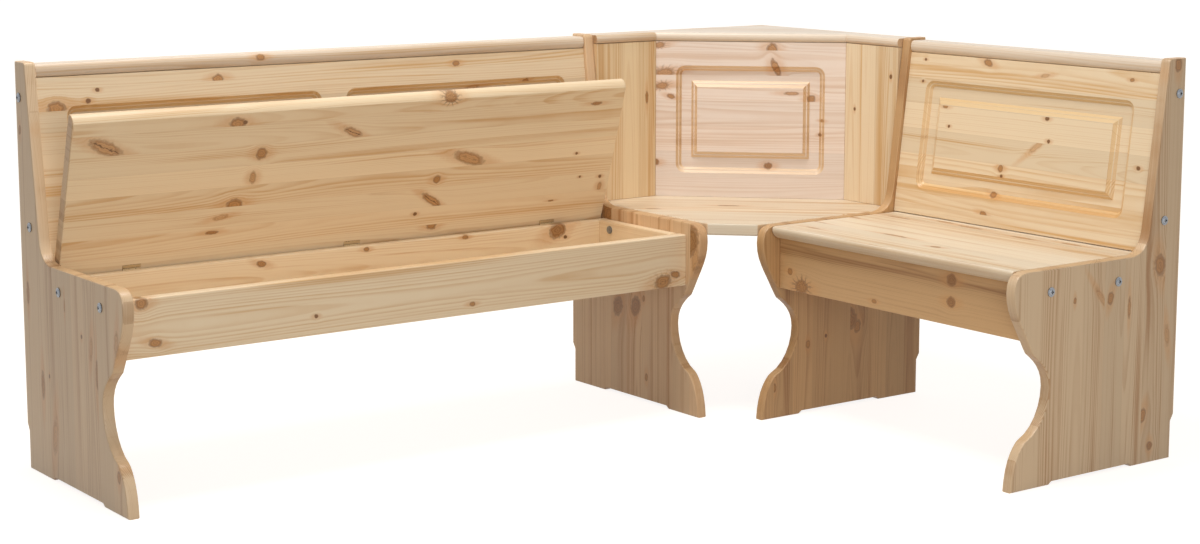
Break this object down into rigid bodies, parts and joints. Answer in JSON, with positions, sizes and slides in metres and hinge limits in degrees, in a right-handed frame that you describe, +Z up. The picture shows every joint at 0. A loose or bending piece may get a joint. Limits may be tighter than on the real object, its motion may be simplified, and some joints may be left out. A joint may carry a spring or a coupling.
{
  "type": "corner storage bench",
  "caption": "Corner seating in laminated pine: two box seats with hinged lids at right angles, raised-field backs, scrolled side panels and a corner seat between them.",
  "frame": {"origin": "centre of the footprint's box, on the floor", "axes": "+X along the long bench towards the room corner, +Y towards the wall behind the long bench, +Z up"},
  "size_m": [1.9966, 1.3636, 0.85],
  "materials": {
    "panel_pine": "satin clear lacquer",
    "back_pine": "satin clear lacquer",
    "rail_pine": "satin clear lacquer",
    "lid_pine": "satin clear lacquer",
    "batten_pine": "planed, clear lacquer",
    "hinge_zinc": "zinc plated",
    "connector_zinc": "zinc plated"
  },
  "bodies": {
    "frame": {"side_panel_left_end": "panel_pine", "side_panel_left_inner": "panel_pine", "side_panel_right_inner": "panel_pine", "side_panel_right_end": "panel_pine", "long_backrest": "back_pine", "long_top_rail": "rail_pine", "long_back_cleat_left": "batten_pine", "long_back_cleat_right": "batten_pine", "long_front_rail": "rail_pine", "long_back_rail": "rail_pine", "long_end_rail_left": "rail_pine", "long_end_rail_right": "rail_pine", "long_box_bottom": "batten_pine", "long_hinge_frame_leaf_1": "hinge_zinc", "long_hinge_frame_leaf_2": "hinge_zinc", "long_hinge_frame_leaf_3": "hinge_zinc", "long_end_connector_high": "connector_zinc", "long_end_connector_low": "connector_zinc", "long_end_connector_rear": "connector_zinc", "long_end_connector_front": "connector_zinc", "long_right_connector_high": "connector_zinc", "long_right_connector_low": "connector_zinc", "long_right_connector_rear": "connector_zinc", "long_right_connector_front": "connector_zinc", "short_backrest": "back_pine", "short_top_rail": "rail_pine", "short_back_cleat_left": "batten_pine", "short_back_cleat_right": "batten_pine", "short_front_rail": "rail_pine", "short_back_rail": "rail_pine", "short_end_rail_left": "rail_pine", "short_end_rail_right": "rail_pine", "short_box_bottom": "batten_pine", "short_hinge_frame_leaf_1": "hinge_zinc", "short_hinge_frame_leaf_2": "hinge_zinc", "short_end_connector_high": "connector_zinc", "short_end_connector_low": "connector_zinc", "short_end_connector_rear": "connector_zinc", "short_end_connector_front": "connector_zinc", "short_left_connector_high": "connector_zinc", "short_left_connector_low": "connector_zinc", "short_left_connector_rear": "connector_zinc", "short_left_connector_front": "connector_zinc", "corner_seat": "lid_pine", "corner_back_left": "back_pine", "corner_back_diagonal": "back_pine", "corner_back_right": "back_pine", "corner_cap": "rail_pine", "corner_rail_left": "rail_pine", "corner_rail_right": "rail_pine", "corner_seat_cleat_left": "batten_pine", "corner_seat_cleat_right": "batten_pine"},
    "long_lid": {"long_lid": "lid_pine", "long_hinge_lid_leaf_1": "hinge_zinc", "long_hinge_lid_leaf_2": "hinge_zinc", "long_hinge_lid_leaf_3": "hinge_zinc"},
    "short_lid": {"short_lid": "lid_pine", "short_hinge_lid_leaf_1": "hinge_zinc", "short_hinge_lid_leaf_2": "hinge_zinc"}
  },
  "joints": [
    {"name": "long_lid_hinge", "type": "hinge", "parent": "frame", "child": "long_lid", "pos_m": [-0.2826, 0.5579, 0.4171], "axis": [1, 0, 0], "range_deg": [-15.3, 72.7]},
    {"name": "short_lid_hinge", "type": "hinge", "parent": "frame", "child": "short_lid", "pos_m": [0.8744, -0.2826, 0.4171], "axis": [0, 1, 0], "range_deg": [0, 88]}
  ]
}
